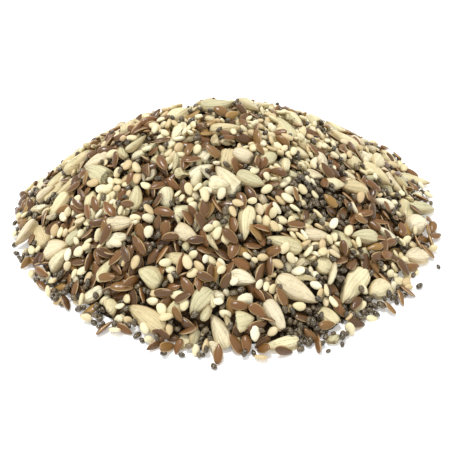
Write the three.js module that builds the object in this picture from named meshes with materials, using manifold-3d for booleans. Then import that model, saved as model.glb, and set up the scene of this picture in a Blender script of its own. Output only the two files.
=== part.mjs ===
// A heap of mixed seeds, lying as it was poured: sunflower kernels, linseed (flax),
// sesame and chia. One solid: a bumpy core with the larger seeds of its skin fused on.
// Millimetres, +Z up. The heap rests on z = 0, with the middle of its box over the origin.

import * as THREE from 'three';
import { mergeVertices } from 'three/addons/utils/BufferGeometryUtils.js';
import Module from 'manifold-3d';

const wasm = await Module();
wasm.setup();

// ---------------------------------------------------------------- driving dimensions

// The foot: its mean radius, and the waves that make it uneven. A wave swings the radius by
// a share of it, as many times round as it has turns, with a crest at its angle.
const FOOT_RADIUS = 55.8;
const FOOT_WAVES = [
  { turns: 1, share: 0.068, crestDegrees: -13 },
  { turns: 2, share: 0.087, crestDegrees: 12 },
  { turns: 3, share: 0.042, crestDegrees: 45 },
  { turns: 17, share: 0.014, crestDegrees: -79 },
];

// The side view: height of the crown over the foot's own layer, and the two powers that
// round the crown and run the slope out into the foot.
const CROWN_HEIGHT = 29.2;
const CROWN_POWER = 2.0;
const FOOT_POWER = 1.3;
const FOOT_LAYER = 1.6;
const CROWN_SHIFT_X = -4.9;

// The core: how finely it is divided, how far it lies under the skin and inside the foot, and
// how far the bumps of the small seeds move its points up or down and sideways.
const CORE_DETAIL = 15;
const CORE_DEPTH = 0.25;
const CORE_SETBACK = 0.4;
const BUMP_HEIGHT = 0.45;
const BUMP_SHIFT = 0.5;
const KEEL_DEPTH = 8;
const LEVEL_SLACK = 1e-6;

// The seeds of the skin, largest first. Sizes are length, width and thickness. A seed tapers
// by a share of its width from its round end to its tip. Its middle lies no nearer to another
// than the sum of their reaches, no further out than its edge share of the foot's radius, and
// under the skin by its sink.
const SEED_KINDS = [
  {
    size: [10.4, 5.6, 3.4], taper: 0.42, sides: 6, rings: 4,
    reach: 4.3, sink: 0.6, edge: 0.95, count: 86,
  },
  {
    size: [6.4, 5.4, 3.6], taper: 0.12, sides: 6, rings: 3,
    reach: 3.1, sink: 0.6, edge: 0.96, count: 22,
  },
  {
    size: [4.8, 2.5, 1.3], taper: 0.4, sides: 4, rings: 3,
    reach: 2.0, sink: 0.45, edge: 0.99, count: 74,
  },
  {
    size: [3.2, 2.1, 1.1], taper: 0.3, sides: 4, rings: 3,
    reach: 1.5, sink: 0.4, edge: 1, count: 28,
  },
];
// How much the seeds vary in size, tilt on the slope (radians) and press into the floor, as a
// share of their thickness.
const SIZE_SPREAD = 0.16;
const TILT_SPREAD = 0.3;
const FLOOR_SINK = 0.12;
const TRIES = 4000;
const SEED_OF_DRAWS = 7557;

const CREAM_BROWN = 0xa49172;
const ROUGHNESS = 0.75;

// ---------------------------------------------------------------- the poured form

// Draws a number between two bounds. Every draw follows from the one seed above.
THREE.MathUtils.seededRandom(SEED_OF_DRAWS);
function draw(low, high) {
  return low + (high - low) * THREE.MathUtils.seededRandom();
}

function footRadius(angle) {
  let factor = 1;
  for (const wave of FOOT_WAVES) {
    const crest = THREE.MathUtils.degToRad(wave.crestDegrees);
    factor += wave.share * Math.cos(wave.turns * (angle - crest));
  }
  return FOOT_RADIUS * factor;
}

// A point of the heap's skin. spread is 0 at the crown and 1 at the foot.
function skinPoint(spread, angle) {
  const radius = spread * footRadius(angle);
  const fall = Math.max(0, 1 - spread ** CROWN_POWER) ** FOOT_POWER;
  return new THREE.Vector3(
    radius * Math.cos(angle) + CROWN_SHIFT_X * (1 - spread),
    radius * Math.sin(angle),
    CROWN_HEIGHT * fall + FOOT_LAYER,
  );
}

// The directions downhill, along the slope and out of the skin at a point of it.
function skinAxes(spread, angle) {
  const step = 0.01;
  const inner = Math.max(spread - step, step);
  const here = skinPoint(inner, angle);
  const downhill = skinPoint(inner + step, angle).sub(here).normalize();
  const along = skinPoint(inner, angle + step).sub(here).normalize();
  const out = downhill.clone().cross(along).normalize();
  along.crossVectors(out, downhill);
  return { downhill, along, out };
}

// ---------------------------------------------------------------- solids

// Makes the vertices that faces share one vertex each.
function weld(geometry) {
  geometry.deleteAttribute('normal');
  geometry.deleteAttribute('uv');
  return mergeVertices(geometry);
}

function toSolid(geometry) {
  const welded = weld(geometry);
  const vertProperties = Float32Array.from(welded.attributes.position.array);
  const triVerts = Uint32Array.from(welded.index.array);
  return new wasm.Manifold(new wasm.Mesh({ numProp: 3, vertProperties, triVerts }));
}

function toGeometry(solid) {
  const { vertProperties, triVerts } = solid.getMesh();
  const geometry = new THREE.BufferGeometry();
  geometry.setAttribute('position', new THREE.BufferAttribute(vertProperties, 3));
  geometry.setIndex(new THREE.BufferAttribute(triVerts, 1));
  return weld(geometry);
}

// Moves one point of a unit ball to the core. The upper half of the ball is drawn out into the
// heap, and the lower half into a keel under the floor, which is cut off later.
function placeCorePoint(point) {
  const spread = Math.acos(Math.min(Math.abs(point.z), 1)) / (Math.PI / 2);
  const angle = Math.atan2(point.y, point.x);
  const inward = 1 - (CORE_SETBACK / FOOT_RADIUS) * spread;
  const placed = skinPoint(spread, angle);
  placed.x *= inward;
  placed.y *= inward;
  placed.z = point.z < -LEVEL_SLACK ? -KEEL_DEPTH : placed.z - CORE_DEPTH;
  placed.x += draw(-BUMP_SHIFT, BUMP_SHIFT);
  placed.y += draw(-BUMP_SHIFT, BUMP_SHIFT);
  placed.z += draw(-BUMP_HEIGHT, BUMP_HEIGHT);
  return placed;
}

function makeCore() {
  const core = weld(new THREE.OctahedronGeometry(1, CORE_DETAIL));
  const { position } = core.attributes;
  const point = new THREE.Vector3();
  for (let i = 0; i < position.count; i += 1) {
    point.fromBufferAttribute(position, i);
    position.setXYZ(i, ...placeCorePoint(point));
  }
  return toSolid(core);
}

// A seed along X, round at -X and drawn to a tip at +X.
function seedGeometry({ size: [length, width, thickness], taper, sides, rings }) {
  const grow = draw(1 - SIZE_SPREAD, 1 + SIZE_SPREAD);
  const ball = new THREE.SphereGeometry(0.5, sides, rings);
  const { position } = ball.attributes;
  for (let i = 0; i < position.count; i += 1) {
    const reach = position.getY(i);
    const girth = (1 - 2 * taper * reach) * grow;
    const across = position.getZ(i) * width * girth;
    const up = position.getX(i) * thickness * girth;
    position.setXYZ(i, reach * length * grow, across, up);
  }
  return ball;
}

// Lays a seed on the skin at a spot, turned to a heading and a little tilted. At the foot it
// lies on the floor instead, just flattened under it.
function laySeed(kind, spot) {
  const { downhill, along, out } = skinAxes(spot.spread, spot.angle);
  const thickness = kind.size[2];
  const pose = new THREE.Matrix4().makeBasis(downhill, along, out);
  pose.multiply(new THREE.Matrix4().makeRotationZ(draw(-Math.PI, Math.PI)));
  pose.multiply(new THREE.Matrix4().makeRotationY(draw(-TILT_SPREAD, TILT_SPREAD)));
  pose.multiply(new THREE.Matrix4().makeRotationX(draw(-TILT_SPREAD, TILT_SPREAD)));
  const centre = spot.point.clone().addScaledVector(out, -kind.sink);
  centre.z = Math.max(centre.z, thickness * (0.5 - FLOOR_SINK));
  pose.setPosition(centre);
  return toSolid(seedGeometry(kind).applyMatrix4(pose));
}

// Finds spots for every seed, each clear of the ones before it, evenly over the skin.
function findSpots() {
  const spots = [];
  for (const kind of SEED_KINDS) {
    let left = kind.count;
    for (let tries = 0; tries < TRIES && left > 0; tries += 1) {
      const spread = kind.edge * Math.sqrt(draw(0, 1));
      const angle = draw(-Math.PI, Math.PI);
      const point = skinPoint(spread, angle);
      const clear = spots.every((spot) => spot.point.distanceTo(point) > spot.kind.reach + kind.reach);
      if (clear) {
        spots.push({ kind, spread, angle, point });
        left -= 1;
      }
    }
  }
  return spots;
}

// A block with its top on the floor, to cut the heap off flat.
function makeUnderfloor() {
  const side = 4 * FOOT_RADIUS;
  const slab = new THREE.BoxGeometry(side, side, side);
  slab.translate(0, 0, -side / 2);
  return toSolid(slab);
}

function makeHeap() {
  const seeds = findSpots().map((spot) => laySeed(spot.kind, spot));
  const fused = seeds.reduce((heap, seed) => heap.add(seed), makeCore());
  const geometry = toGeometry(fused.subtract(makeUnderfloor()));
  geometry.computeBoundingBox();
  const middle = geometry.boundingBox.getCenter(new THREE.Vector3());
  geometry.translate(-middle.x, -middle.y, 0);
  return geometry;
}

// ---------------------------------------------------------------- the part

const seedMaterial = new THREE.MeshStandardMaterial({
  color: CREAM_BROWN,
  roughness: ROUGHNESS,
  metalness: 0,
  flatShading: true,
});
const heap = new THREE.Mesh(makeHeap(), seedMaterial);
heap.name = 'seed_heap';

const part = new THREE.Group();
part.add(heap);

export default part;
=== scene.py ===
"""A poured heap of mixed seeds: sunflower kernels, flax, sesame and chia.

Lengths are millimetres until a mesh, a light or the camera is made, which Blender keeps in
metres. The heap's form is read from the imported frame, and the seeds are dropped onto a core
under it, one by one, so that they rest on each other.
"""

from __future__ import annotations

import logging
from dataclasses import dataclass, field
from enum import Enum
from typing import Any

import bpy
import numpy as np
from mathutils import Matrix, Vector
from mathutils.bvhtree import BVHTree


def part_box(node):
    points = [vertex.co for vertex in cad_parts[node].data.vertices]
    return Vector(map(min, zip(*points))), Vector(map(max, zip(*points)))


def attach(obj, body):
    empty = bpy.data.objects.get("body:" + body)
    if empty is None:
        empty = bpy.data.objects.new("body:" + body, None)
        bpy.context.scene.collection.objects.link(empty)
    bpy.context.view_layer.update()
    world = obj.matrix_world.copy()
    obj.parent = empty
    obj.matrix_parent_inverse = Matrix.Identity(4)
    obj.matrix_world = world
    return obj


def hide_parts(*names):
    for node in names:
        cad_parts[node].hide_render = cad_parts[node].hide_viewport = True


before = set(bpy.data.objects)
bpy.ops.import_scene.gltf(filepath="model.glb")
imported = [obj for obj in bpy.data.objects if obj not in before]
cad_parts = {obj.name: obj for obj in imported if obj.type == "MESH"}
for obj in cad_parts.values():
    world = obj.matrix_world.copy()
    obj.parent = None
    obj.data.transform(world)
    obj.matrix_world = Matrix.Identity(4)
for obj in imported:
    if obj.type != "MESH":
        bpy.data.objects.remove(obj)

MM = 0.001
NODE = "seed_heap"
BODY = "root"
UV_NAME = "OFBake"
DRAWS = 7557

log = logging.getLogger("seed_heap")

Colour = tuple[float, float, float, float]


def srgb(*levels: int) -> Colour:
    """A colour in linear light.

    Args:
        levels: its red, green and blue, 0 to 255, as a screen shows them.

    Returns:
        The colour with an alpha of 1.
    """
    shares = np.array(levels) / 255
    light = np.where(shares <= 0.04045, shares / 12.92, ((shares + 0.055) / 1.055) ** 2.4)
    return (*map(float, light), 1.0)


# ---------- node graphs


class Wire:
    """A socket of a node tree. Arithmetic on it adds Math nodes."""

    def __init__(self, graph: Graph, socket: bpy.types.NodeSocket) -> None:
        """Keeps the socket and the graph it is in."""
        self.graph = graph
        self.socket = socket

    def __add__(self, other: Wire | float) -> Wire:
        """The sum."""
        return self.graph.math("ADD", self, other)

    def __sub__(self, other: Wire | float) -> Wire:
        """The difference."""
        return self.graph.math("SUBTRACT", self, other)

    def __rsub__(self, other: float) -> Wire:
        """The difference from a number."""
        return self.graph.math("SUBTRACT", other, self)

    def __mul__(self, other: Wire | float) -> Wire:
        """The product."""
        return self.graph.math("MULTIPLY", self, other)

    def __truediv__(self, other: Wire | float) -> Wire:
        """The quotient."""
        return self.graph.math("DIVIDE", self, other)

    def __pow__(self, other: float) -> Wire:
        """The power."""
        return self.graph.math("POWER", self, other)

    __radd__ = __add__
    __rmul__ = __mul__

    def floor(self) -> Wire:
        """The whole number under it."""
        return self.graph.math("FLOOR", self)

    def size(self) -> Wire:
        """Its size without its sign."""
        return self.graph.math("ABSOLUTE", self)

    def over(self, edge: float, width: float) -> Wire:
        """A soft step from 0 to 1 as it passes an edge, over a width."""
        settings = {"interpolation_type": "SMOOTHSTEP"}
        sockets = {0: self, 1: edge, 2: edge + width}
        return self.graph.wire(self.graph.add("ShaderNodeMapRange", settings, sockets))


@dataclass(frozen=True)
class Coat:
    """A colour laid over another by a share, where a pattern passes an edge over a width."""

    colour: Colour
    edge: float
    width: float
    share: float

    def cover(self, pattern: Wire) -> Wire:
        """How far it covers what is under it, from 0 to its share."""
        return pattern.over(self.edge, self.width) * self.share


class Graph:
    """The node tree that a material or a world is drawn by."""

    # The colour sockets of a Mix node: its share, its two colours and its result.
    SHARE, FIRST, SECOND, MIXED = 0, 6, 7, 2

    def __init__(self, owner: bpy.types.Material | bpy.types.World) -> None:
        """Empties the owner's tree.

        Args:
            owner: the material or world.
        """
        self.owner = owner
        owner.use_nodes = True
        self.tree = owner.node_tree
        self.tree.nodes.clear()

    def add(
        self,
        kind: str,
        settings: dict[str, Any] | None = None,
        sockets: dict[int | str, Any] | None = None,
    ) -> bpy.types.Node:
        """Adds a node.

        Args:
            kind: the node's type.
            settings: its properties, and the stops of a ramp under "stops".
            sockets: wires or plain values of its inputs, by number or name.

        Returns:
            The node.
        """
        node = self.tree.nodes.new(kind)
        for key, value in (settings or {}).items():
            if key == "stops":
                self._set_stops(node.color_ramp, value)
            else:
                setattr(node, key, value)
        for key, value in (sockets or {}).items():
            if isinstance(value, Wire):
                self.tree.links.new(value.socket, node.inputs[key])
            else:
                node.inputs[key].default_value = value
        return node

    @staticmethod
    def _set_stops(ramp: bpy.types.ColorRamp, colours: tuple[Colour, ...]) -> None:
        """Spaces colours evenly over a ramp.

        Args:
            ramp: the ramp.
            colours: two or more of them.
        """
        while len(ramp.elements) < len(colours):
            ramp.elements.new(1.0)
        for number, colour in enumerate(colours):
            ramp.elements[number].position = number / (len(colours) - 1)
            ramp.elements[number].color = colour

    def wire(self, node: bpy.types.Node, output: int | str = 0) -> Wire:
        """The wire from one of a node's outputs."""
        return Wire(self, node.outputs[output])

    def math(self, operation: str, *values: Wire | float) -> Wire:
        """The result of a Math node on one, two or three values."""
        settings = {"operation": operation}
        return self.wire(self.add("ShaderNodeMath", settings, dict(enumerate(values))))

    def vector(self, x: Wire | float, y: Wire | float, z: Wire | float) -> Wire:
        """A vector made of three values."""
        return self.wire(self.add("ShaderNodeCombineXYZ", None, {0: x, 1: y, 2: z}))

    def noise(self, scale: float, detail: float, place: Wire | None = None) -> Wire:
        """Smooth noise, about 0.5.

        Args:
            scale: how many waves there are to a unit.
            detail: how many finer layers it has.
            place: where it is read, or the object's own coordinates.

        Returns:
            Its height.
        """
        place = place or self.wire(self.add("ShaderNodeTexCoord"), "Object")
        sockets = {"Vector": place, "Scale": scale, "Detail": detail}
        return self.wire(self.add("ShaderNodeTexNoise", None, sockets))

    def mix(
        self, share: Wire | float, first: Wire | Colour, second: Wire | Colour, blend: str = "MIX"
    ) -> Wire:
        """The second colour laid over the first by a share, in one of a Mix node's ways."""
        settings = {"data_type": "RGBA", "blend_type": blend}
        sockets = {self.SHARE: share, self.FIRST: first, self.SECOND: second}
        return self.wire(self.add("ShaderNodeMix", settings, sockets), self.MIXED)

    def coat(self, colour: Wire | Colour, coat: Coat, pattern: Wire) -> Wire:
        """A colour with a coat on it where the coat's pattern says."""
        return self.mix(coat.cover(pattern), colour, coat.colour)

    def shade(self, colour: Wire, wave: Wire, swing: float) -> Wire:
        """A colour times 1 + swing * (wave - 1/2)."""
        return self.mix(1.0, colour, (1 - swing / 2) + wave * swing, "MULTIPLY")

    def bump(self, height: Wire, depth: float) -> dict[str, Wire]:
        """What feeds Normal: a lean like that of a height field so many millimetres deep."""
        sockets = {"Strength": 1.0, "Distance": depth * MM, "Height": height}
        return {"Normal": self.wire(self.add("ShaderNodeBump", None, sockets))}

    def finish(
        self, colour: Wire | Colour, roughness: Wire | float, shine: float, others: dict[str, Any]
    ) -> bpy.types.Material:
        """Ends the tree in a Principled surface.

        Args:
            colour: its colour.
            roughness: its roughness.
            shine: its specular level.
            others: what feeds its other inputs, by their names.

        Returns:
            The material.
        """
        sockets = {"Base Color": colour, "Roughness": roughness, "Specular IOR Level": shine}
        shader = self.add("ShaderNodeBsdfPrincipled", None, sockets | others)
        self.add("ShaderNodeOutputMaterial", None, {"Surface": self.wire(shader)})
        return self.owner


# ---------- the sheet of tiles


@dataclass(frozen=True)
class Tiles:
    """The square sheet of tiles that each seed's surface lies in. Every seed takes one of the
    tiles, with its length across the tile and its width up it, and both faces alike."""

    count: int = 8
    margin: float = 0.06

    def place(self, along: np.ndarray, across: np.ndarray, pick: np.ndarray) -> np.ndarray:
        """Points of the sheet: tile corner + margin + inner share * (along, across).

        Args:
            along: share of the length, 0 to 1.
            across: share of the width, 0 to 1.
            pick: number of the seed's tile.

        Returns:
            The points, with the last axis x and y.
        """
        inner = 1 - 2 * self.margin
        x = (pick % self.count + self.margin + inner * along) / self.count
        y = (pick // self.count + self.margin + inner * across) / self.count
        return np.stack([x, y], axis=-1)


TILES = Tiles()


@dataclass(frozen=True)
class Grain:
    """Noise over a seed: how far its place is stretched along and across the seed, how many
    waves there are to a unit of that, and how many finer layers it has."""

    along: float
    across: float
    scale: float = 3.0
    detail: float = 3.0


class SeedGraph(Graph):
    """A graph whose patterns lie in the sheet of tiles.

    A pattern is shifted from tile to tile by column_shift and row_shift. end_gap keeps the
    outline's powers off 0 at the seed's ends, and least_width keeps its width off 0.
    """

    column_shift = 3.7
    row_shift = 5.3
    end_gap = 0.001
    least_width = 0.05

    def __init__(self, name: str) -> None:
        """Reads the place within the tile, and the tile's own corner.

        Args:
            name: the material's name.
        """
        super().__init__(bpy.data.materials.new(name))
        sheet = self.add("ShaderNodeUVMap", {"uv_map": UV_NAME})
        parts = self.add("ShaderNodeSeparateXYZ", None, {0: self.wire(sheet)})
        x = self.wire(parts, 0) * TILES.count
        y = self.wire(parts, 1) * TILES.count
        self.column = x.floor()
        self.row = y.floor()
        inner = 1 - 2 * TILES.margin
        self.along = (x - self.column - TILES.margin) / inner
        self.across = (y - self.row - TILES.margin) / inner
        self.shift = self.column * self.column_shift + self.row * self.row_shift

    def luck(self, salt: float) -> Wire:
        """A number from 0 to 1 that is the same all over a tile, one for each salt."""
        place = self.vector(self.column, self.row, salt)
        return self.wire(self.add("ShaderNodeTexWhiteNoise", None, {"Vector": place}))

    def tone(self, tones: tuple[Colour, ...]) -> Wire:
        """One of a row of colours, or between two, by the tile's luck."""
        return self.wire(self.add("ShaderNodeValToRGB", {"stops": tones}, {0: self.luck(1.0)}))

    def grain(self, grain: Grain, aside: Wire | None = None) -> Wire:
        """Noise over a seed, with aside in place of the place across the tile if it is given."""
        across = (aside or self.across) * grain.across
        place = self.vector(self.along * grain.along, across, self.shift)
        return self.noise(grain.scale, grain.detail, place)

    def side(self, shape: SeedShape) -> Wire:
        """How far out a point is from the seed's middle line: -1 and 1 are its two edges.

        Args:
            shape: the seed's form.

        Returns:
            (across - 1/2) * 2 / half width, where half width is along^blunt *
            (1 - along)^sharp over its greatest value.
        """
        inside = self.math("MINIMUM", self.along, 1 - self.end_gap)
        inside = self.math("MAXIMUM", inside, self.end_gap)
        width = (inside**shape.blunt) * ((1 - inside) ** shape.sharp) / shape.peak()
        return (self.across - 0.5) * 2 / self.math("MAXIMUM", width, self.least_width)


# ---------- seed shapes


@dataclass
class Laid:
    """The seeds of one kind that lie in the heap, a row for each."""

    centres: list[np.ndarray] = field(default_factory=list)
    axes: list[np.ndarray] = field(default_factory=list)
    sizes: list[np.ndarray] = field(default_factory=list)


@dataclass(frozen=True)
class Wear:
    """How a seed departs from its plain form: its lumps' waves round it, their most twist along
    it and their least height as a share of the kind's, the share of breaks that are at the tip,
    how far from the middle they stop, how they slant and how rough they are, all as shares of
    the seed's size, and how far over the floor every point stays, in millimetres."""

    waves: tuple[int, ...] = (1, 2, 3, 5)
    twist: float = 5.0
    least_wave: float = 0.3
    tip_share: float = 0.45
    stop: tuple[float, float] = (0.1, 0.34)
    slant_y: float = 0.5
    slant_z: float = 0.4
    rough: float = 0.09
    floor_gap: float = 0.02


WEAR = Wear()


@dataclass(frozen=True)
class SeedShape:
    """The form of one kind of seed.

    With t from 0 at the round end to 1 at the tip and v round the seed, its surface is
    x = (t - 1/2) * length, y = width/2 * h * c(cos v) and z = thickness/2 * h^flat * c(sin v),
    where h = t^blunt (1 - t)^sharp over its greatest value and c(s) is s with its size raised
    to corner: under 1 it is boxy, over 1 it has a sharp rim. Its mesh has that many rings and
    sides. spread is how far sizes differ, lumps the height of its waves and bow the depth of
    its bend, as shares, and broken the share of its seeds that are broken.
    """

    length: float
    width: float
    thickness: float
    blunt: float
    sharp: float
    flat: float
    corner: float
    rings: int
    sides: int
    spread: float
    lumps: float
    bow: float
    broken: float

    def peak(self) -> float:
        """The greatest value of t^blunt (1 - t)^sharp, which is at t = blunt/(blunt + sharp)."""
        share = self.blunt / (self.blunt + self.sharp)
        return share**self.blunt * (1 - share) ** self.sharp

    def cornered(self, wave: np.ndarray) -> np.ndarray:
        """A wave with its size raised to corner, and its sign kept."""
        return np.sign(wave) * np.abs(wave) ** self.corner

    def sizes(self, rng: np.random.Generator) -> np.ndarray:
        """Draws the length, width and thickness of one seed."""
        whole = 1 + self.spread * rng.standard_normal((1, 1)).clip(-2, 2)
        each = 1 + 0.5 * self.spread * rng.standard_normal((1, 3)).clip(-2, 2)
        return (np.array([self.length, self.width, self.thickness]) * whole * each)[0]

    def surfaces(self, laid: Laid, rng: np.random.Generator) -> tuple[np.ndarray, np.ndarray]:
        """Works out the surface of every seed of the kind at once.

        Each is the plain surface, with its width and thickness swelled by 1 + the sum of
        height * cos(waves * v + twist * t + phase), bent by bow * length * (2t - 1)^2, cut off
        on a rough slant where it is broken, and carried by its axes to its centre.

        Args:
            laid: the seeds' sizes and places.
            rng: where the lumps and breaks are drawn.

        Returns:
            The points by seed, ring, side and axis, with one ring more at each end for the
            poles, and their places in the sheet of tiles likewise.
        """
        count = len(laid.centres)
        each = (count, 1, 1)
        length, width, thickness = np.moveaxis(np.array(laid.sizes)[:, None, None, :], -1, 0)
        turn = np.pi * np.arange(self.rings + 2) / (self.rings + 1)
        t = ((1 - np.cos(turn)) / 2)[None, :, None]
        v = (2 * np.pi * np.arange(self.sides) / self.sides)[None, None, :]
        half = t**self.blunt * (1 - t) ** self.sharp / self.peak()

        swell = np.ones((count, self.rings + 2, self.sides))
        for waves in WEAR.waves:
            phase = rng.uniform(0, 2 * np.pi, each)
            twist = rng.uniform(-WEAR.twist, WEAR.twist, each)
            height = rng.uniform(WEAR.least_wave, 1, each) * self.lumps
            swell += height * np.cos(waves * v + twist * t + phase)

        x = (t - 0.5) * length * np.ones_like(swell)
        y = width / 2 * half * self.cornered(np.cos(v)) * swell
        z = thickness / 2 * half**self.flat * self.cornered(np.sin(v)) * swell
        bend = rng.uniform(-1, 1, (2, *each)) * self.bow * length * (2 * t - 1) ** 2
        y = y + bend[0]
        z = z + bend[1]

        is_broken = rng.uniform(size=each) < self.broken
        at_tip = rng.uniform(size=each) < WEAR.tip_share
        stop = length * rng.uniform(*WEAR.stop, each)
        slant = rng.uniform(-WEAR.slant_y, WEAR.slant_y, each) * y
        slant = slant + rng.uniform(-WEAR.slant_z, WEAR.slant_z, each) * z
        rough = rng.uniform(-WEAR.rough, WEAR.rough, x.shape) * width
        x = np.where(is_broken & at_tip, np.minimum(x, stop + slant + rough), x)
        x = np.where(is_broken & ~at_tip, np.maximum(x, -stop - slant + rough), x)

        local = np.stack([x, y, z], axis=-1)
        points = np.einsum("nrsk,njk->nrsj", local, np.array(laid.axes))
        points += np.array(laid.centres)[:, None, None, :]
        points[..., 2] = np.maximum(points[..., 2], WEAR.floor_gap)
        pick = rng.integers(0, TILES.count**2, each)
        across = 0.5 + 0.5 * half * np.cos(v) + 0 * swell
        return points, TILES.place(t + 0 * swell, across, pick)


class Kind(Enum):
    """The kinds of seed, with their shapes."""

    KERNEL = SeedShape(9.8, 4.6, 2.9, 0.42, 0.86, 0.7, 0.8, 16, 18, 0.13, 0.075, 0.06, 0.2)
    FLAX = SeedShape(4.6, 2.35, 1.05, 0.52, 0.74, 0.8, 1.3, 7, 8, 0.1, 0.03, 0.05, 0.0)
    SESAME = SeedShape(2.9, 1.95, 1.0, 0.5, 0.66, 0.6, 0.85, 6, 8, 0.12, 0.06, 0.03, 0.05)
    CHIA = SeedShape(1.8, 1.3, 1.1, 0.5, 0.55, 0.8, 1.0, 4, 6, 0.12, 0.05, 0.0, 0.0)
    CHIP = SeedShape(3.4, 2.4, 1.3, 0.42, 0.5, 0.6, 0.8, 5, 7, 0.32, 0.24, 0.1, 0.9)
    SLIVER = SeedShape(4.0, 1.2, 0.7, 0.4, 0.6, 0.6, 0.9, 6, 6, 0.3, 0.2, 0.16, 0.4)


# ---------- meshes


def ring_faces(rings: int, sides: int) -> list[np.ndarray]:
    """The faces of a closed body whose points are its rings in order and then its two poles.

    Args:
        rings: how many rings it has.
        sides: how many points each has.

    Returns:
        The four-sided faces between rings, and the triangles at the poles. They face out where
        the rings follow each other along +X and turn from +Y to +Z.
    """
    side = np.arange(sides)
    after = (side + 1) % sides
    ring = np.arange(rings - 1)[:, None] * sides
    near = np.stack([ring + side, ring + after], axis=-1)
    quads = np.concatenate([near, near[..., ::-1] + sides], axis=-1).reshape(-1, 4)
    last = (rings - 1) * sides
    pole = np.full_like(side, rings * sides)
    first_end = np.stack([pole, after, side], axis=-1)
    last_end = np.stack([pole + 1, last + side, last + after], axis=-1)
    return [quads, np.concatenate([first_end, last_end])]


def make_piece(
    name: str,
    points: np.ndarray,
    faces: list[np.ndarray],
    sheet: np.ndarray | None,
    material: bpy.types.Material,
) -> None:
    """Makes a smooth mesh, puts it in the scene and ties it to the frame.

    Args:
        name: the piece's name.
        points: its vertices in millimetres.
        faces: arrays of faces, each with the same number of corners.
        sheet: each vertex's place in the sheet of tiles, if it has one.
        material: what it is dressed in.
    """
    mesh = bpy.data.meshes.new(name)
    corners = np.concatenate([group.ravel() for group in faces]).astype(np.int32)
    lengths = np.concatenate([np.full(len(group), group.shape[1]) for group in faces])
    starts = np.concatenate([[0], np.cumsum(lengths)[:-1]]).astype(np.int32)
    mesh.vertices.add(len(points))
    mesh.vertices.foreach_set("co", (points * MM).astype(np.float32).ravel())
    mesh.loops.add(len(corners))
    mesh.loops.foreach_set("vertex_index", corners)
    mesh.polygons.add(len(starts))
    mesh.polygons.foreach_set("loop_start", starts)
    mesh.polygons.foreach_set("use_smooth", np.ones(len(starts), dtype=bool))
    if sheet is not None:
        layer = mesh.uv_layers.new(name=UV_NAME)
        layer.uv.foreach_set("vector", sheet[corners].astype(np.float32).ravel())
    mesh.update(calc_edges=True)
    mesh.validate()
    mesh.materials.append(material)
    piece = bpy.data.objects.new(name, mesh)
    bpy.context.scene.collection.objects.link(piece)
    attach(piece, BODY)
    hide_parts(NODE)
    log.info("%s: %d points, %d triangles", name, len(points), (lengths - 2).sum())


# ---------- the camera


@dataclass(frozen=True)
class PhotoView:
    """The view the heap was photographed from. Pixels are those of a frame 450 wide."""

    frame_pixels: float = 450.0
    focal_pixels: float = 620.0
    pitch_degrees: float = 38.3
    eye: tuple[float, float, float] = (-0.6, -141.3, 108.0)
    sensor: float = 36.0

    def ray(self, x: float, y: float) -> tuple[np.ndarray, np.ndarray]:
        """The line of sight through a pixel: forward + right * dx/f + up * dy/f.

        Args:
            x: pixels from the frame's left.
            y: pixels from its top.

        Returns:
            The eye and the direction.
        """
        pitch = np.radians(self.pitch_degrees)
        rise, run = np.sin(pitch), np.cos(pitch)
        aside = (x - self.frame_pixels / 2) / self.focal_pixels
        above = (self.frame_pixels / 2 - y) / self.focal_pixels
        line = np.array([aside, run + rise * above, run * above - rise])
        return np.array(self.eye), line / np.linalg.norm(line)

    def floor_at(self, x: float, y: float) -> np.ndarray:
        """The point of the floor that a pixel would show if nothing lay on it."""
        eye, line = self.ray(x, y)
        return eye - line * eye[2] / line[2]

    def place_camera(self) -> None:
        """Makes the camera and sets it as the scene's own."""
        data = bpy.data.cameras.new("photo_view")
        data.sensor_width = self.sensor
        data.lens = self.sensor * self.focal_pixels / self.frame_pixels
        data.clip_start = MM
        camera = bpy.data.objects.new("photo_view", data)
        camera.location = Vector(self.eye) * MM
        camera.rotation_euler = (np.radians(90 - self.pitch_degrees), 0, 0)
        bpy.context.scene.collection.objects.link(camera)
        bpy.context.scene.camera = camera


# ---------- the heap's form


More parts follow.
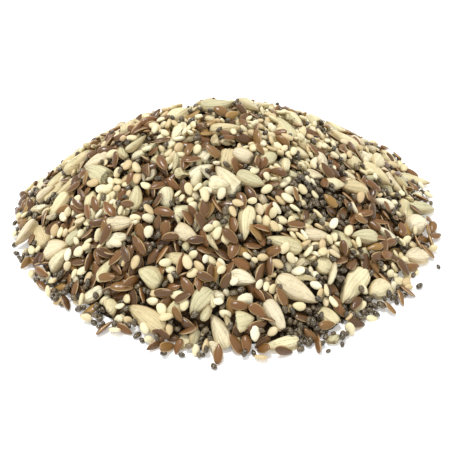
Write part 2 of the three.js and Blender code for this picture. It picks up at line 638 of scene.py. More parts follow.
@dataclass
class HeapForm:
    """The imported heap's upper surface, as heights on a square grid that reaches so far from
    the middle and has cells so wide."""

    reach: float = 76.0
    cell: float = 0.3

    def __post_init__(self) -> None:
        """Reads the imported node."""
        self.count = int(2 * self.reach / self.cell)
        self.line = (np.arange(self.count) + 0.5) * self.cell - self.reach
        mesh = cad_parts[NODE].data
        places = np.empty(3 * len(mesh.vertices), np.float32)
        mesh.vertices.foreach_get("co", places)
        points = [Vector(row) for row in places.reshape(-1, 3) / MM]
        self.tree = BVHTree.FromPolygons(points, [tuple(p.vertices) for p in mesh.polygons])
        self.solid = self._drop_rays()

    def _drop_rays(self) -> np.ndarray:
        """Drops a ray on each cell of the solid's box.

        Returns:
            The solid's height over each cell, 0 outside it.
        """
        heights = np.zeros((self.count, self.count))
        low, high = (np.array(corner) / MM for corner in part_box(NODE))
        down = Vector((0, 0, -1))
        top = high[2] + 1
        for i in np.nonzero((self.line > low[0]) & (self.line < high[0]))[0]:
            for j in np.nonzero((self.line > low[1]) & (self.line < high[1]))[0]:
                hit = self.tree.ray_cast(Vector((self.line[i], self.line[j], top)), down)[0]
                heights[i, j] = hit.z if hit else 0.0
        return heights

    def smoothed(self, heights: np.ndarray, width: float) -> np.ndarray:
        """Blurs a field with a bell curve: its spectrum times exp(-2 (pi * width * f)^2).

        Args:
            heights: the field over the grid.
            width: the curve's spread.

        Returns:
            The blurred field.
        """
        across = np.fft.fftfreq(self.count, self.cell)[:, None]
        along = np.fft.rfftfreq(self.count, self.cell)[None, :]
        fade = np.exp(-2 * (np.pi * width) ** 2 * (across**2 + along**2))
        return np.fft.irfft2(np.fft.rfft2(heights) * fade, s=heights.shape)

    def cells(self, x: np.ndarray, y: np.ndarray) -> tuple[np.ndarray, np.ndarray]:
        """The grid's cells that points lie in."""
        i = ((x + self.reach) / self.cell).astype(int).clip(0, self.count - 1)
        j = ((y + self.reach) / self.cell).astype(int).clip(0, self.count - 1)
        return i, j

    def seen_at(self, view: PhotoView, x: float, y: float) -> np.ndarray:
        """The point of the heap, or else of the floor, that a pixel shows."""
        hit = self.tree.ray_cast(*map(Vector, view.ray(x, y)))[0]
        return np.array(hit) if hit else view.floor_at(x, y)


# ---------- where the photo shows seeds


@dataclass(frozen=True)
class Landmark:
    """A kernel that stands out in the photo: the pixels of its round end and its tip, and its
    width as a share of its length."""

    round_x: float
    round_y: float
    tip_x: float
    tip_y: float
    slim: float = 0.5


LANDMARKS = (
    Landmark(277, 272, 317, 299, 0.46),
    Landmark(269, 292, 285, 329, 0.46),
    Landmark(321, 301, 346, 329, 0.48),
    Landmark(300, 334, 263, 344, 0.42),
    Landmark(209, 284, 190, 312, 0.6),
    Landmark(228, 342, 211, 307, 0.45),
    Landmark(165, 321, 127, 297, 0.45),
    Landmark(231, 265, 255, 279, 0.6),
    Landmark(44, 268, 71, 243, 0.42),
    Landmark(38, 248, 68, 240),
    Landmark(98, 278, 111, 255),
    Landmark(102, 284, 78, 298, 0.45),
    Landmark(170, 222, 200, 236),
    Landmark(192, 256, 162, 246, 0.46),
    Landmark(428, 254, 405, 254, 0.7),
    Landmark(398, 239, 377, 222),
    Landmark(376, 236, 352, 230),
    Landmark(352, 239, 334, 219, 0.45),
    Landmark(303, 226, 331, 232, 0.45),
    Landmark(236, 170, 266, 177, 0.55),
    Landmark(213, 176, 226, 186, 0.8),
    Landmark(232, 150, 262, 157, 0.55),
    Landmark(282, 168, 306, 172),
    Landmark(303, 163, 324, 171),
    Landmark(290, 138, 308, 153, 0.55),
    Landmark(366, 192, 340, 184),
    Landmark(410, 188, 393, 176, 0.6),
    Landmark(330, 137, 350, 148),
    Landmark(374, 149, 396, 161, 0.55),
    Landmark(135, 205, 137, 179, 0.55),
    Landmark(89, 205, 92, 184, 0.6),
    Landmark(168, 208, 192, 198, 0.6),
    Landmark(188, 168, 214, 160, 0.55),
    Landmark(108, 152, 84, 166),
    Landmark(112, 176, 86, 170, 0.45),
    Landmark(164, 184, 168, 199, 0.8),
    Landmark(198, 152, 215, 138),
    Landmark(201, 103, 233, 105, 0.45),
    Landmark(184, 117, 172, 134),
    Landmark(106, 219, 136, 215, 0.45),
    Landmark(36, 198, 55, 186),
    Landmark(106, 236, 128, 225),
    Landmark(66, 238, 84, 220),
    Landmark(160, 276, 138, 262, 0.7),
    Landmark(316, 256, 338, 264, 0.75),
    Landmark(388, 282, 370, 286, 0.8),
    Landmark(238, 322, 248, 318, 0.9),
    Landmark(178, 300, 166, 308, 0.6),
    Landmark(146, 138, 132, 148),
    Landmark(254, 120, 270, 128),
    Landmark(152, 152, 166, 158, 0.6),
    Landmark(412, 228, 424, 218, 0.6),
    Landmark(343, 163, 361, 177, 0.6),
    Landmark(317, 136, 330, 146, 0.6),
    Landmark(318, 148, 327, 160, 0.7),
    Landmark(262, 158, 278, 146, 0.65),
    Landmark(328, 178, 342, 184, 0.6),
    Landmark(170, 112, 190, 106, 0.55),
    Landmark(126, 148, 146, 132),
)


@dataclass(frozen=True)
class Loose:
    """A seed that has rolled off the foot, and the pixel where the photo shows it."""

    kind: Kind
    x: float
    y: float


LOOSE_SEEDS = (
    Loose(Kind.CHIA, 438, 268),
    Loose(Kind.CHIA, 419, 288),
    Loose(Kind.FLAX, 389, 312),
    Loose(Kind.CHIA, 342, 346),
    Loose(Kind.CHIA, 328, 352),
    Loose(Kind.CHIA, 214, 368),
    Loose(Kind.CHIA, 199, 358),
    Loose(Kind.CHIA, 164, 357),
    Loose(Kind.CHIA, 57, 303),
)


@dataclass(frozen=True)
class Pocket:
    """A place where the photo shows one kind of seed gathered: its pixel, and its reach in
    millimetres."""

    kind: Kind
    x: float
    y: float
    reach: float = 5.0


POCKETS = (
    Pocket(Kind.CHIA, 152, 272, 2.0),
    Pocket(Kind.CHIA, 332, 260, 2.0),
    Pocket(Kind.CHIA, 268, 188),
    Pocket(Kind.CHIA, 330, 198),
    Pocket(Kind.CHIA, 318, 190),
    Pocket(Kind.CHIA, 277, 251, 3.5),
    Pocket(Kind.CHIA, 257, 292, 4.0),
    Pocket(Kind.CHIA, 187, 346),
    Pocket(Kind.CHIA, 92, 331, 3.5),
    Pocket(Kind.CHIA, 62, 303, 3.0),
    Pocket(Kind.CHIA, 380, 304),
    Pocket(Kind.CHIA, 428, 190),
    Pocket(Kind.CHIA, 312, 332),
    Pocket(Kind.CHIA, 14, 254, 3.0),
    Pocket(Kind.CHIA, 120, 168, 4.0),
    Pocket(Kind.FLAX, 150, 164),
    Pocket(Kind.FLAX, 74, 198),
    Pocket(Kind.FLAX, 93, 222),
    Pocket(Kind.FLAX, 60, 262, 4.0),
    Pocket(Kind.FLAX, 120, 268, 4.0),
    Pocket(Kind.FLAX, 252, 219),
    Pocket(Kind.FLAX, 244, 244),
    Pocket(Kind.FLAX, 170, 300, 6.0),
    Pocket(Kind.FLAX, 260, 336),
    Pocket(Kind.FLAX, 363, 246),
    Pocket(Kind.SESAME, 236, 214, 4.0),
    Pocket(Kind.SESAME, 308, 203, 7.0),
    Pocket(Kind.SESAME, 284, 264),
    Pocket(Kind.SESAME, 402, 272, 4.0),
    Pocket(Kind.SESAME, 272, 142, 6.0),
    Pocket(Kind.SESAME, 180, 122, 7.0),
    Pocket(Kind.SESAME, 300, 124, 7.0),
    Pocket(Kind.SESAME, 100, 200, 4.0),
    Pocket(Kind.SESAME, 74, 250, 6.0),
    Pocket(Kind.SESAME, 112, 182, 4.0),
    Pocket(Kind.FLAX, 372, 200, 6.0),
    Pocket(Kind.CHIA, 396, 196),
)


# ---------- how seeds are poured


@dataclass(frozen=True)
class Habit:
    """How a kind of seed likes to lie.

    edge is the least height of the skin it goes to, clump the weight of its own patches in
    millimetres, patch their blur, foot the weight that draws it to the foot, tilt the spread of
    its lean in radians, press the share of what it lies on that it sinks past, and upright the
    share of its seeds that stand on their edge.
    """

    edge: float
    clump: float
    patch: float
    foot: float
    tilt: float
    press: float
    upright: float


HABITS = {
    Kind.KERNEL: Habit(2.4, 0.2, 5.0, 0.0, 0.1, 0.12, 0.0),
    Kind.FLAX: Habit(0.9, 0.14, 3.25, 0.0, 0.4, 0.04, 0.32),
    Kind.SESAME: Habit(0.9, 0.14, 3.75, 0.0, 0.4, 0.04, 0.25),
    Kind.CHIA: Habit(0.7, 0.14, 2.25, 0.12, 0.3, 0.04, 0.0),
    Kind.CHIP: Habit(1.5, 0.2, 3.5, -0.2, 0.4, 0.04, 0.3),
    Kind.SLIVER: Habit(1.5, 0.2, 3.5, -0.2, 0.4, 0.04, 0.3),
}


@dataclass(frozen=True)
class Mixture:
    """Seeds poured together: the share of each kind among them by number, and how many places
    are tried for each seed."""

    shares: dict[Kind, float]
    tries: int


BASE = Mixture({Kind.KERNEL: 0.03, Kind.FLAX: 0.2, Kind.SESAME: 0.27, Kind.CHIA: 0.5}, 24)
FILL = Mixture(
    {Kind.FLAX: 0.18, Kind.SESAME: 0.305, Kind.CHIA: 0.4, Kind.CHIP: 0.065, Kind.SLIVER: 0.05}, 26
)
HOLES = Mixture({Kind.FLAX: 0.18, Kind.SESAME: 0.3, Kind.CHIA: 0.52}, 3)

# The steps to each side of a place where the pile is read to score it, and the points where it
# is read under a seed, as shares of the seed's length and width.
READINGS = np.arange(-2, 3)
FOOTPRINT = np.stack(
    np.meshgrid(np.linspace(-0.4, 0.4, 7), np.linspace(-0.4, 0.4, 5))
).reshape(2, -1)


@dataclass(frozen=True)
class Seed:
    """A seed to be laid: its kind, its place, and its length, width and thickness."""

    kind: Kind
    x: float
    y: float
    size: np.ndarray


@dataclass(frozen=True)
class Rest:
    """Where a seed comes to rest: its centre's height, the least it can be over the floor, the
    part of the grid it is over, which of those cells it covers, and its upper face over its
    centre."""

    z: float
    lowest: float
    rows: slice
    columns: slice
    inside: np.ndarray
    over: np.ndarray


@dataclass
class Pile:
    """Seeds dropped one by one onto the heap's core.

    They lie layer deep over it, under the solid's surface blurred by skin_blur. base_level and
    fill_level are the mean levels over that skin that the two main pourings reach. Seeds lie
    along the slope under them, eased towards the skin's and no steeper than steepest, the best
    of some turns, and stand out of the skin no further than proud. Holes are hole_depth deep or
    more, where the skin is over hole_skin. Weights and reaches of what draws a kind are those
    of _liking. front_gap and back_gap part the free kernels. Landmarks have lengths within
    kernel_lengths, and are plump times as thick as wide.
    """

    form: HeapForm
    view: PhotoView
    rng: np.random.Generator
    layer: float = 4.6
    skin_blur: float = 2.2
    base_level: float = -3.4
    fill_level: float = -1.1
    proud: float = 1.3
    ease: float = 0.35
    steepest: float = 0.9
    turns: int = 3
    batch: int = 60
    hole_depth: float = 2.0
    hole_skin: float = 1.2
    hole_rounds: int = 16
    bare: float = 0.4
    foot_reach: float = 5.0
    ring_pull: float = 0.8
    ring_reach: float = 2.4
    pocket_depth: float = 0.42
    pocket_guard: float = 0.2
    front_gap: float = 9.0
    back_gap: float = 8.2
    free_kernels: int = 46
    kernel_lengths: tuple[float, float] = (5.5, 13.0)
    plump: float = 0.62
    landmark_tilt: float = 0.08
    loose_tilt: float = 0.05
    upright_rise: tuple[float, float] = (0.7, 2.2)

    def __post_init__(self) -> None:
        """Sets the bare core under the heap's skin."""
        self.skin = self.form.smoothed(self.form.solid, self.skin_blur)
        self.bed = np.maximum(self.skin - self.layer, 0.0)
        self.heights = self.bed.copy()
        self.inside = self.skin > self.layer
        self.laid = {kind: Laid() for kind in Kind}
        self.pushed: list[float] = []
        self.liking = {kind: self._liking(kind) for kind in Kind}
        self.open_cells = {
            kind: np.stack(np.nonzero(self.skin > HABITS[kind].edge), axis=-1) for kind in Kind
        }

    def _liking(self, kind: Kind) -> np.ndarray:
        """A field of soft patches, low where a kind gathers.

        It is blurred noise of unit spread times clump, less foot * exp(-skin / foot_reach),
        less ring_pull * exp(-(skin / ring_reach)^2), less pocket_depth *
        exp(-d^2 / (2 reach^2)) at a distance d from each of its pockets, with pocket_guard
        times that added at the other kinds'.

        Args:
            kind: the kind of seed.

        Returns:
            The field over the grid.
        """
        habit = HABITS[kind]
        soft = self.form.smoothed(self.rng.standard_normal(self.skin.shape), habit.patch)
        liking = habit.clump * soft / soft.std()
        liking -= habit.foot * np.exp(-self.skin / self.foot_reach)
        liking -= self.ring_pull * np.exp(-((self.skin / self.ring_reach) ** 2))
        for pocket in POCKETS:
            spot = self.form.seen_at(self.view, pocket.x, pocket.y)
            gap = (self.form.line[:, None] - spot[0]) ** 2
            gap = gap + (self.form.line[None, :] - spot[1]) ** 2
            weight = -self.pocket_depth if pocket.kind is kind else self.pocket_guard
            liking += weight * np.exp(-gap / (2 * pocket.reach**2))
        return liking

    def mean_level(self) -> float:
        """The pile's mean height over the skin, away from the foot."""
        return float((self.heights - self.skin)[self.inside].mean())

    def pose(self, seed: Seed, heading: float, tilt: float, turn: float) -> np.ndarray:
        """A seed's axes: along the slope under it, give or take its tilt. The slope is the
        least-squares fit over its footprint.

        Args:
            seed: the seed.
            heading: the way its tip points, in radians.
            tilt: the spread of its own lean, in radians.
            turn: how much steeper across it lies, as a rise to a unit.

        Returns:
            The axes as columns.
        """
        along = FOOTPRINT[0] * seed.size[0]
        across = FOOTPRINT[1] * seed.size[1]
        i, j = self.form.cells(
            seed.x + along * np.cos(heading) - across * np.sin(heading),
            seed.y + along * np.sin(heading) + across * np.cos(heading),
        )
        under = self.heights[i, j] * (1 - self.ease) + self.skin[i, j] * self.ease
        under = under - under.mean()
        slopes = [(way * under).sum() / (way**2).sum() for way in (along, across)]
        rise, roll = (max(-self.steepest, min(self.steepest, slope)) for slope in slopes)
        rise += tilt * self.rng.standard_normal()
        roll += tilt * self.rng.standard_normal() + turn
        ahead = np.array([np.cos(heading), np.sin(heading), rise])
        ahead /= np.sqrt(ahead @ ahead)
        aside = np.array([-np.sin(heading), np.cos(heading), roll])
        aside -= ahead * (aside @ ahead)
        aside /= np.sqrt(aside @ aside)
        return np.stack([ahead, aside, np.cross(ahead, aside)], axis=1)

    def rest(self, seed: Seed, axes: np.ndarray) -> Rest:
        """Finds how high a seed comes to rest, taken as an ellipsoid.

        At an offset d from its centre its lower and upper faces are the roots z of
        p' M p = 1, with p = (d, z) and M = R diag(4 / size^2) R'. It sinks until all but the
        pressed share of the pile's cells lie under it.

        Args:
            seed: the seed.
            axes: its axes as columns.

        Returns:
            The resting place.
        """
        half = seed.size / 2
        reach = np.sqrt((axes[:2] ** 2 * half**2).sum(axis=1))
        form = (axes / half**2) @ axes.T
        grid, cell = self.form, self.form.cell
        i, j = int((seed.x + grid.reach) / cell), int((seed.y + grid.reach) / cell)
        span_x, span_y = int(reach[0] / cell) + 1, int(reach[1] / cell) + 1
        rows = slice(max(i - span_x, 0), i + span_x + 1)
        columns = slice(max(j - span_y, 0), j + span_y + 1)
        dx = grid.line[rows][:, None] - seed.x
        dy = grid.line[columns][None, :] - seed.y
        middle = form[0, 2] * dx + form[1, 2] * dy
        flat = form[0, 0] * dx**2 + 2 * form[0, 1] * dx * dy + form[1, 1] * dy**2 - 1
        root = middle**2 - form[2, 2] * flat
        inside = root > 0
        root = np.sqrt(np.maximum(root, 0))
        under = (-middle - root) / form[2, 2]
        gaps = np.sort((self.heights[rows, columns] - under)[inside])
        lowest = float(-under[inside].min())
        pressed = int(len(gaps) * (1 - HABITS[seed.kind].press)) - 1
        z = max(float(gaps[pressed]), lowest)
        return Rest(z, lowest, rows, columns, inside, (-middle + root) / form[2, 2])

    def lay(self, seed: Seed, heading: float, tilt: float) -> None:
        """Lays a seed with its tip pointing one way, by the best of a few tilts."""
        self._settle(seed, [self.pose(seed, heading, tilt, 0.0) for _ in range(self.turns)])

    def drop(self, kind: Kind, cells: np.ndarray, tries: int) -> None:
        """Drops a seed into the lowest of a few places, turned so as to lie low. A place's level
        is the mean of what lies round it, measured from the skin, and the kind's liking for it.

        Args:
            kind: the kind of seed.
            cells: the cells that it may go to.
            tries: how many places are compared.
        """
        habit, line = HABITS[kind], self.form.line
        size = kind.value.sizes(self.rng)
        some = cells[self.rng.integers(0, len(cells), tries)]
        around = READINGS * max(1, int(size[1] / 2 / self.form.cell / READINGS[-1]))
        i = (some[:, 0, None, None] + around[None, :, None]).clip(0, len(line) - 1)
        j = (some[:, 1, None, None] + around[None, None, :]).clip(0, len(line) - 1)
        level = (self.heights[i, j] - self.skin[i, j]).mean(axis=(1, 2))
        best = some[int((level + self.liking[kind][some[:, 0], some[:, 1]]).argmin())]
        seed = Seed(kind, line[best[0]], line[best[1]], size)
        headings = self.rng.uniform(-np.pi, np.pi, self.turns)
        turn = 0.0
        if self.rng.uniform() < habit.upright:
            turn = float(self.rng.uniform(*self.upright_rise) * self.rng.choice((-1, 1)))
        self._settle(seed, [self.pose(seed, heading, habit.tilt, turn) for heading in headings])

    def _settle(self, seed: Seed, poses: list[np.ndarray]) -> None:
        """Lays a seed in the pose that lets it lie lowest, and adds it to the pile. One that
        would stand out of the skin too far is pushed in.

        Args:
            seed: the seed.
            poses: the axes to choose from, as columns.
        """
        rests = [self.rest(seed, axes) for axes in poses]
        best = min(range(len(poses)), key=lambda number: rests[number].z)
        found = rests[best]
        out = found.z + found.over - self.skin[found.rows, found.columns]
        excess = max(0.0, float(out[found.inside].max()) - self.proud)
        z = max(found.z - excess, found.lowest)
        self.pushed.append(found.z - z)
        pile = self.heights[found.rows, found.columns]
        pile[found.inside] = np.maximum(pile, z + found.over)[found.inside]
        laid = self.laid[seed.kind]
        laid.centres.append(np.array([seed.x, seed.y, z]))
        laid.axes.append(poses[best])
        laid.sizes.append(seed.size)

    def _drop_batch(self, mixture: Mixture, cells: dict[Kind, np.ndarray]) -> None:
        """Drops a batch of seeds in a mixed order.

        Args:
            mixture: which kinds.
            cells: the cells that each kind may go to.
        """
        kinds = list(mixture.shares)
        odds = np.array(list(mixture.shares.values()))
        for number in self.rng.choice(len(kinds), self.batch, p=odds / odds.sum()):
            self.drop(kinds[number], cells[kinds[number]], mixture.tries)

    def pour(self, mixture: Mixture, level: float) -> None:
        """Drops seeds until the pile's mean level is as far over the skin as is asked."""
        while self.mean_level() < level:
            self._drop_batch(mixture, self.open_cells)

    def fill_holes(self) -> None:
        """Drops small seeds into what is left deep between the others."""
        for _ in range(self.hole_rounds):
            deep = self.heights < np.maximum(self.skin - self.hole_depth, self.bare)
            cells = np.stack(np.nonzero((self.skin > self.hole_skin) & deep), axis=-1)
            self._drop_batch(HOLES, dict.fromkeys(Kind, cells))

    def lay_kernels(self) -> None:
        """Lays the kernels that stand out in the photo, and then scatters more over the skin,
        each clear of the ones before it."""
        taken = []
        for mark in LANDMARKS:
            start = self.form.seen_at(self.view, mark.round_x, mark.round_y)
            end = self.form.seen_at(self.view, mark.tip_x, mark.tip_y)
            middle = (start + end) / 2
            length = float(np.clip(np.linalg.norm(end - start), *self.kernel_lengths))
            width = length * mark.slim
            seed = Seed(Kind.KERNEL, *middle[:2], np.array([length, width, width * self.plump]))
            heading = float(np.arctan2(end[1] - start[1], end[0] - start[0]))
            self.lay(seed, heading, self.landmark_tilt)
            taken.append(middle[:2])
        cells = self.open_cells[Kind.KERNEL]
        draws = self.form.line[cells[self.rng.permutation(len(cells))]]
        for _ in range(self.free_kernels):
            gap = np.where(draws[:, 1] < 0, self.front_gap, self.back_gap)
            for spot in taken:
                clear = ((draws - spot) ** 2).sum(axis=1) > gap**2
                draws, gap = draws[clear], gap[clear]
            if not len(draws):
                break
            taken = draws[:1]
            seed = Seed(Kind.KERNEL, *draws[0], Kind.KERNEL.value.sizes(self.rng))
            self.lay(seed, self.rng.uniform(-np.pi, np.pi), HABITS[Kind.KERNEL].tilt)

    def lay_loose(self) -> None:
        """Lays the seeds that have rolled off the foot."""
        for loose in LOOSE_SEEDS:
            spot = self.view.floor_at(loose.x, loose.y)
            seed = Seed(loose.kind, *spot[:2], loose.kind.value.sizes(self.rng))
            self.lay(seed, self.rng.uniform(-np.pi, np.pi), self.loose_tilt)

    def build(self) -> None:
        """Pours the whole heap."""
        self.pour(BASE, self.base_level)
        self.lay_kernels()
        log.info("level with its kernels: %.2f mm over the skin", self.mean_level())
        self.pour(FILL, self.fill_level)
        self.fill_holes()
        self.lay_loose()
        over = (self.heights - self.skin)[self.inside]
        log.info("level at the end: %.2f mm over the skin, spread %.2f", over.mean(), over.std())
        pushed = np.array(self.pushed)
        log.info("pushed in: %d seeds, by %.2f mm at most", (pushed > 0).sum(), pushed.max())
        for kind in Kind:
            log.info("%s: %d laid", kind.name.lower(), len(self.laid[kind].centres))


# ---------- finishes


@dataclass(frozen=True)
class KernelFinish:
    """Matt ivory to grey-beige kernels, with thin dark lines along them, tan tips, and painted
    shade on their edges in the same tan.

    The lines are where the streaks pass their middle, within line_width of it, and cover a
    share from line_least to line_least + line_more, from seed to seed. The relief is a sum of
    the streaks, the fine grain and the lines by their heights, relief millimetres deep.
    """

    tones: tuple[Colour, ...] = (
        srgb(208, 188, 142),
        srgb(232, 220, 176),
        srgb(242, 234, 202),
        srgb(226, 211, 178),
        srgb(222, 211, 166),
        srgb(200, 193, 155),
        srgb(240, 230, 192),
    )
    patch: Coat = Coat(srgb(176, 164, 118), 0.5, 0.25, 0.5)
    # Painted shade: the tan laid over the kernels' edges stands in for the shade on their flanks.
    edge: Coat = Coat(srgb(180, 154, 106), 0.5, 0.5, 0.55)
    tip: Coat = Coat(srgb(180, 154, 106), 0.74, 0.26, 0.4)
    line: Colour = srgb(104, 88, 62)
    line_width: float = 0.014
    line_least: float = 0.1
    line_more: float = 0.45
    streaks: Grain = Grain(0.5, 1.7, 1.6, 1.0)
    fine: Grain = Grain(5.0, 3.0)
    patches: Grain = Grain(1.3, 0.9, 1.6, 2.0)
    swing: float = 0.4
    heights: tuple[float, float, float] = (0.9, 0.3, -0.12)
    roughness: float = 0.62
    shine: float = 0.35
    relief: float = 0.55

    def material(self) -> bpy.types.Material:
        """Builds the material.

        Returns:
            The material.
        """
        graph = SeedGraph("kernel")
        side = graph.side(Kind.KERNEL.value)
        streaks = graph.grain(self.streaks, side)
        lines = 1 - (streaks - 0.5).size().over(0.0, self.line_width)
        fine = graph.grain(self.fine)
        colour = graph.coat(graph.tone(self.tones), self.patch, graph.grain(self.patches))
        # The tan at the tip is the kernel's own colour; the same tan on its edges is painted
        # shade.
        tip_tan_and_edge_shade = self.edge.cover(side.size()) + self.tip.cover(graph.along)
        colour = graph.mix(tip_tan_and_edge_shade, colour, self.edge.colour)
        colour = graph.shade(colour, fine, self.swing)
        line_share = self.line_least + graph.luck(2.0) * self.line_more
        colour = graph.mix(lines * line_share, colour, self.line)
        height = streaks * self.heights[0] + fine * self.heights[1] + lines * self.heights[2]
        return graph.finish(colour, self.roughness, self.shine, graph.bump(height, self.relief))


@dataclass(frozen=True)
class FlaxFinish:
    """Glossy reddish brown flax with a paler rim. rough_more is what its grain adds to its
    roughness, and relief its depth in millimetres."""

    tones: tuple[Colour, ...] = (
        srgb(77, 50, 26),
        srgb(108, 75, 40),
        srgb(126, 85, 44),
        srgb(90, 64, 37),
        srgb(116, 78, 40),
        srgb(134, 99, 52),
        srgb(166, 130, 67),
    )
    rim: Coat = Coat(srgb(210, 180, 132), 0.78, 0.16, 0.8)
    fine: Grain = Grain(4.0, 2.4)
    swing: float = 0.4
    roughness: float = 0.17
    rough_more: float = 0.12
    shine: float = 0.5
    relief: float = 0.05

    def material(self) -> bpy.types.Material:
        """Builds the material.

        Returns:
            The material.
        """
        graph = SeedGraph("flax")
        fine = graph.grain(self.fine)
        colour = graph.shade(graph.tone(self.tones), fine, self.swing)
        colour = graph.coat(colour, self.rim, graph.side(Kind.FLAX.value).size())
        roughness = self.roughness + fine * self.rough_more
        return graph.finish(colour, roughness, self.shine, graph.bump(fine, self.relief))


@dataclass(frozen=True)
class SesameFinish:
    """Satin cream sesame, some of it golden, with a browner tip."""

    tones: tuple[Colour, ...] = (
        srgb(240, 231, 194),
        srgb(224, 207, 160),
        srgb(246, 240, 210),
        srgb(206, 180, 132),
        srgb(232, 220, 176),
        srgb(240, 230, 190),
        srgb(196, 158, 106),
    )
    tip: Coat = Coat(srgb(168, 128, 84), 0.86, 0.14, 0.7)
    fine: Grain = Grain(3.0, 2.0, detail=2.0)
    swing: float = 0.24
    roughness: float = 0.48
    shine: float = 0.45
    relief: float = 0.05

    def material(self) -> bpy.types.Material:
        """Builds the material.

        Returns:
            The material.
        """
        graph = SeedGraph("sesame")
        fine = graph.grain(self.fine)
        colour = graph.shade(graph.tone(self.tones), fine, self.swing)
        colour = graph.coat(colour, self.tip, graph.along)
        return graph.finish(colour, self.roughness, self.shine, graph.bump(fine, self.relief))


@dataclass(frozen=True)
class ChiaFinish:
    """Dark grey chia, mottled with pale flecks."""

    tones: tuple[Colour, ...] = (
        srgb(34, 26, 16),
        srgb(64, 50, 32),
        srgb(88, 72, 46),
        srgb(44, 34, 22),
        srgb(120, 102, 70),
    )
    fleck: Coat = Coat(srgb(192, 176, 140), 0.53, 0.09, 0.6)
    mottle: Grain = Grain(4.4, 3.0)
    swing: float = -0.5
    roughness: float = 0.2
    shine: float = 0.65
    relief: float = 0.06

    def material(self) -> bpy.types.Material:
        """Builds the material.

        Returns:
            The material.
        """
        graph = SeedGraph("chia")
        mottle = graph.grain(self.mottle)
        colour = graph.coat(graph.tone(self.tones), self.fleck, mottle)
        colour = graph.shade(colour, mottle, self.swing)
        return graph.finish(colour, self.roughness, self.shine, graph.bump(mottle, self.relief))


@dataclass(frozen=True)
class CoreFinish:
    """Painted shade: the dark, fine-grained core that shows between seeds, coloured dark brown to
    stand in for the shade deep in the gaps. Its grain has so many waves to a metre, and so many
    finer layers."""

    # Painted shade: the dark brown of the deep gaps between seeds.
    dark: Colour = srgb(50, 34, 18)
    pale: Coat = Coat(srgb(124, 90, 50), 0.45, 0.25, 1.0)
    grain: tuple[float, float] = (420.0, 3.0)
    roughness: float = 0.8
    shine: float = 0.5
    relief: float = 0.4

    def material(self) -> bpy.types.Material:
        """Builds the material.

        Returns:
            The material.
        """
        graph = Graph(bpy.data.materials.new("heap_core_painted_shade"))
        grain = graph.noise(*self.grain)
        colour = graph.coat(self.dark, self.pale, grain)
        return graph.finish(colour, self.roughness, self.shine, graph.bump(grain, self.relief))


# ---------- sub-assemblies


@dataclass(frozen=True)
class Core:
    """The heap's inside: a closed body under the layer of seeds, with bumps as high as the
    smallest of them. Inside its foot no point is lower than least."""

    rings: int = 56
    sides: int = 160
    depth: float = 0.5
    bump: float = 0.35
    bump_length: float = 2.1
    bump_drift: float = 3.0
    foot_skin: float = 4.4
    least: float = 0.1

    def build(self, pile: Pile) -> None:
        """Makes the core's mesh.

        Its top is z = the pile's bed - depth + bump * sin(kx) * sin(ky + x / bump_drift) with
        k = 2 pi / bump_length, over the points (rho R(phi) cos phi, rho R(phi) sin phi) with
        R where the skin comes down to foot_skin, and its foot and underside are at z = 0.

        Args:
            pile: the pile that lies on it.
        """
        form = pile.form
        angle = 2 * np.pi * np.arange(self.sides) / self.sides
        steps = np.arange(0, form.reach, form.cell)
        i, j = form.cells(steps * np.cos(angle)[:, None], steps * np.sin(angle)[:, None])
        edge = steps[(pile.skin[i, j] > self.foot_skin).sum(axis=1)]
        rho = (np.arange(1, self.rings + 1) / self.rings)[:, None]
        x, y = rho * edge * np.cos(angle), rho * edge * np.sin(angle)
        wave = 2 * np.pi / self.bump_length
        bumps = self.bump * np.sin(wave * x) * np.sin(wave * y + x / self.bump_drift)
        z = pile.bed[form.cells(x, y)] - self.depth + bumps
        z = np.where(rho < 1, np.maximum(z, self.least), 0)
        poles = [[0.0, 0.0, float(z[0].mean())], [0.0, 0.0, 0.0]]
        points = np.concatenate([np.stack([x, y, z], axis=-1).reshape(-1, 3), poles])
        faces = [group[:, ::-1] for group in ring_faces(self.rings, self.sides)]
        # The core's dark finish is painted shade where the gaps between seeds go deep.
        make_piece("heap_core_painted_shade", points, faces, None, CoreFinish().material())


@dataclass(frozen=True)
class SeedBatch:
    """All the seeds of one kind, or of the kinds that share a finish, as one piece."""

    name: str
    kinds: tuple[Kind, ...]
    finish: KernelFinish | FlaxFinish | SesameFinish | ChiaFinish
    slot: str

    @staticmethod
    def listed(grid: np.ndarray) -> np.ndarray:
        """A row for each point of each seed: its rings in order, and then its two poles, each
        the mean of an end ring.

        Args:
            grid: values by seed, ring and side, with the end rings still there.

        Returns:
            The rows.
        """
        rings = grid[:, 1:-1].reshape(len(grid), -1, grid.shape[-1])
        poles = np.stack([grid[:, 0].mean(axis=1), grid[:, -1].mean(axis=1)], axis=1)
        return np.concatenate([rings, poles], axis=1).reshape(-1, grid.shape[-1])

    def build(self, pile: Pile) -> None:
        """Makes the batch's mesh out of what the pile holds.

        Args:
            pile: the poured pile.
        """
        places, sheets, faces, first = [], [], [], 0
        for kind in self.kinds:
            shape, laid = kind.value, pile.laid[kind]
            points, sheet = shape.surfaces(laid, pile.rng)
            places.append(self.listed(points))
            sheets.append(self.listed(sheet))
            count, size = len(laid.centres), shape.rings * shape.sides + 2
            shift = first + np.arange(count)[:, None, None] * size
            for group in ring_faces(shape.rings, shape.sides):
                faces.append((group[None] + shift).reshape(-1, group.shape[1]))
            first += count * size
        points, sheet = np.concatenate(places), np.concatenate(sheets)
        make_piece(self.name, points, faces, sheet, self.finish.material())


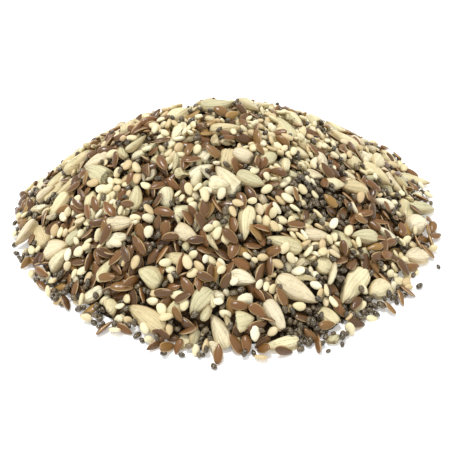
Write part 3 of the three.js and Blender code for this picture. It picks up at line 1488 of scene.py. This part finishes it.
@dataclass(frozen=True)
class Studio:
    """The pale floor and the soft light. The floor's grain has so many waves to a metre, and so
    many finer layers, and adds rough_more to its roughness."""

    floor_side: float = 40000.0
    floor_colour: Colour = srgb(250, 250, 250)
    floor_glow: float = 0.22
    grain: tuple[float, float] = (60.0, 2.0)
    roughness: float = 0.55
    rough_more: float = 0.1
    shine: float = 0.2
    sky: float = 0.85
    sky_seen: float = 1.0
    sun_strength: float = 2.1
    sun_spread_degrees: float = 12.0
    sun_from: tuple[float, float, float] = (-0.22, 0.08, 1.0)

    def build(self) -> None:
        """Makes the floor, the world and the lamp."""
        self._floor()
        self._world()
        self._sun()

    def _floor(self) -> None:
        """A flat square under the heap."""
        graph = Graph(bpy.data.materials.new("pale_floor"))
        roughness = self.roughness + graph.noise(*self.grain) * self.rough_more
        glow = {"Emission Color": self.floor_colour, "Emission Strength": self.floor_glow}
        finish = graph.finish(self.floor_colour, roughness, self.shine, glow)
        half = self.floor_side / 2 * MM
        mesh = bpy.data.meshes.new("floor")
        corners = [(-half, -half, 0), (half, -half, 0), (half, half, 0), (-half, half, 0)]
        mesh.from_pydata(corners, [], [(0, 1, 2, 3)])
        mesh.materials.append(finish)
        floor = bpy.data.objects.new("floor", mesh)
        bpy.context.scene.collection.objects.link(floor)

    def _world(self) -> None:
        """An even white sky, which looks as bright as the floor where it is seen itself."""
        world = bpy.data.worlds.new("studio")
        graph = Graph(world)
        seen = graph.wire(graph.add("ShaderNodeLightPath"), "Is Camera Ray")
        sockets = {"Color": (1, 1, 1, 1), "Strength": self.sky + seen * (self.sky_seen - self.sky)}
        light = graph.wire(graph.add("ShaderNodeBackground", None, sockets))
        graph.add("ShaderNodeOutputWorld", None, {"Surface": light})
        bpy.context.scene.world = world
        bpy.context.scene.view_settings.view_transform = "Standard"

    def _sun(self) -> None:
        """One wide, soft light from above."""
        data = bpy.data.lights.new("key", "SUN")
        data.energy = self.sun_strength
        data.angle = np.radians(self.sun_spread_degrees)
        lamp = bpy.data.objects.new("key", data)
        lamp.rotation_euler = Vector(self.sun_from).to_track_quat("Z", "Y").to_euler()
        bpy.context.scene.collection.objects.link(lamp)


# ---------- the scene


def main() -> None:
    """Builds the heap and its studio, and reports each piece."""
    logging.basicConfig(level=logging.INFO, format="%(message)s")
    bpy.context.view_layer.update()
    view = PhotoView()
    pile = Pile(HeapForm(), view, np.random.default_rng(DRAWS))
    pile.build()
    Core().build(pile)
    kernel_kinds = (Kind.KERNEL, Kind.CHIP, Kind.SLIVER)
    batches = (
        SeedBatch("sunflower_kernels", kernel_kinds, KernelFinish(), "kernel"),
        SeedBatch("flax_seeds", (Kind.FLAX,), FlaxFinish(), "flax"),
        SeedBatch("sesame_seeds", (Kind.SESAME,), SesameFinish(), "sesame"),
        SeedBatch("chia_seeds", (Kind.CHIA,), ChiaFinish(), "chia"),
    )
    for batch in batches:
        batch.build(pile)
    Studio().build()
    view.place_camera()


if __name__ == "__main__":
    main()
